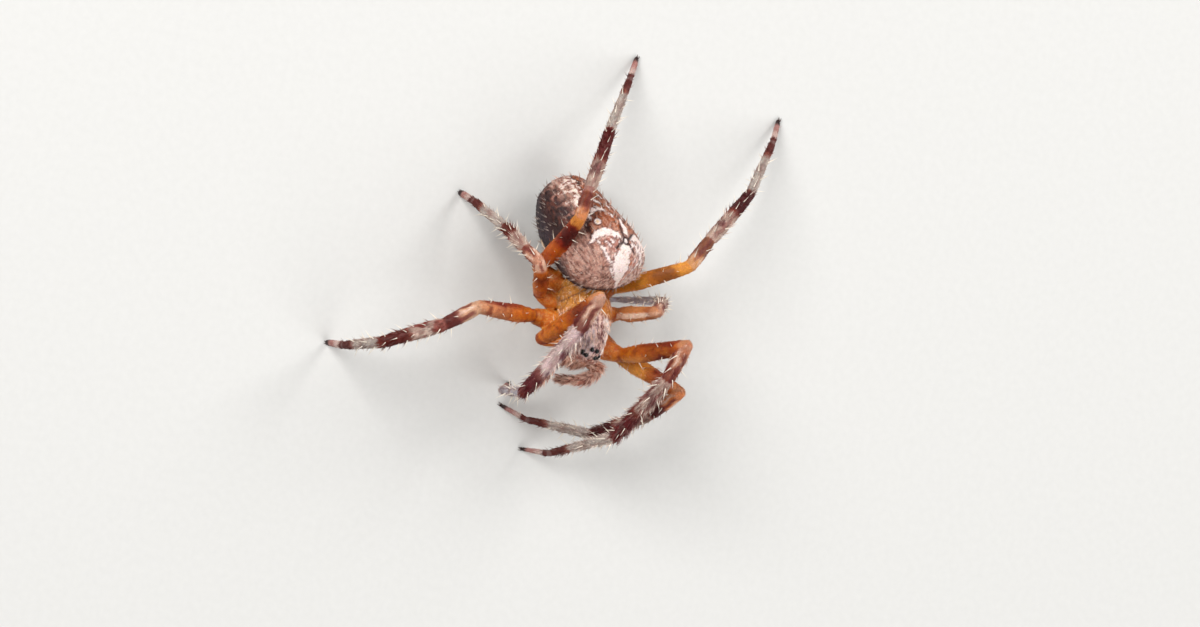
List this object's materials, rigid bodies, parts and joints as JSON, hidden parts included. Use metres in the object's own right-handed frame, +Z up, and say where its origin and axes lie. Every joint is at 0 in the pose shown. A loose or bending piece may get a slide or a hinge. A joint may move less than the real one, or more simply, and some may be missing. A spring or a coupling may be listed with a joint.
{
  "type": "orb weaver spider",
  "caption": "Life-size still model of a hairy orb weaver spider with a patterned round abdomen and banded, spiny legs, standing on a floor with its front legs drawn up beside its face.",
  "frame": {"origin": "on the floor straight below the narrow waist between the front body and the abdomen", "axes": "+Z up; the spider faces -Y as a whole; +X to the spider's left"},
  "size_m": [0.0298, 0.0287, 0.0116],
  "materials": {
    "leg_cuticle": "satin cuticle, orange and pale with dark rings, under short pale hair",
    "carapace_cuticle": "satin cuticle under pale hair",
    "abdomen_skin": "matte skin with pale and dark markings under short hair",
    "fang_cuticle": "hard glossy cuticle",
    "eye_lens": "polished lens"
  },
  "bodies": {
    "root": {"eye_front_middle_left": "eye_lens", "eye_front_middle_right": "eye_lens", "eye_rear_middle_left": "eye_lens", "eye_rear_middle_right": "eye_lens", "eyes_side_left": "eye_lens", "eyes_side_right": "eye_lens", "carapace": "carapace_cuticle", "sternum": "carapace_cuticle", "chelicera_left": "carapace_cuticle", "fang_left": "fang_cuticle", "chelicera_right": "carapace_cuticle", "fang_right": "fang_cuticle", "pedicel": "carapace_cuticle", "abdomen": "abdomen_skin", "spinnerets": "abdomen_skin", "leg_left_1_coxa": "leg_cuticle", "leg_left_1_femur": "leg_cuticle", "leg_left_1_patella": "leg_cuticle", "leg_left_1_tibia": "leg_cuticle", "leg_left_1_foot": "leg_cuticle", "leg_left_2_coxa": "leg_cuticle", "leg_left_2_femur": "leg_cuticle", "leg_left_2_patella": "leg_cuticle", "leg_left_2_tibia": "leg_cuticle", "leg_left_2_foot": "leg_cuticle", "leg_left_3_coxa": "leg_cuticle", "leg_left_3_femur": "leg_cuticle", "leg_left_3_patella": "leg_cuticle", "leg_left_3_tibia": "leg_cuticle", "leg_left_3_foot": "leg_cuticle", "leg_left_4_coxa": "leg_cuticle", "leg_left_4_femur": "leg_cuticle", "leg_left_4_patella": "leg_cuticle", "leg_left_4_tibia": "leg_cuticle", "leg_left_4_foot": "leg_cuticle", "leg_right_1_coxa": "leg_cuticle", "leg_right_1_femur": "leg_cuticle", "leg_right_1_patella": "leg_cuticle", "leg_right_1_tibia": "leg_cuticle", "leg_right_1_foot": "leg_cuticle", "leg_right_2_coxa": "leg_cuticle", "leg_right_2_femur": "leg_cuticle", "leg_right_2_patella": "leg_cuticle", "leg_right_2_tibia": "leg_cuticle", "leg_right_2_foot": "leg_cuticle", "leg_right_3_coxa": "leg_cuticle", "leg_right_3_femur": "leg_cuticle", "leg_right_3_patella": "leg_cuticle", "leg_right_3_tibia": "leg_cuticle", "leg_right_3_foot": "leg_cuticle", "leg_right_4_coxa": "leg_cuticle", "leg_right_4_femur": "leg_cuticle", "leg_right_4_patella": "leg_cuticle", "leg_right_4_tibia": "leg_cuticle", "leg_right_4_foot": "leg_cuticle", "palp_left_femur": "leg_cuticle", "palp_left_end": "leg_cuticle", "palp_right_femur": "leg_cuticle", "palp_right_end": "leg_cuticle"}
  },
  "joints": []
}
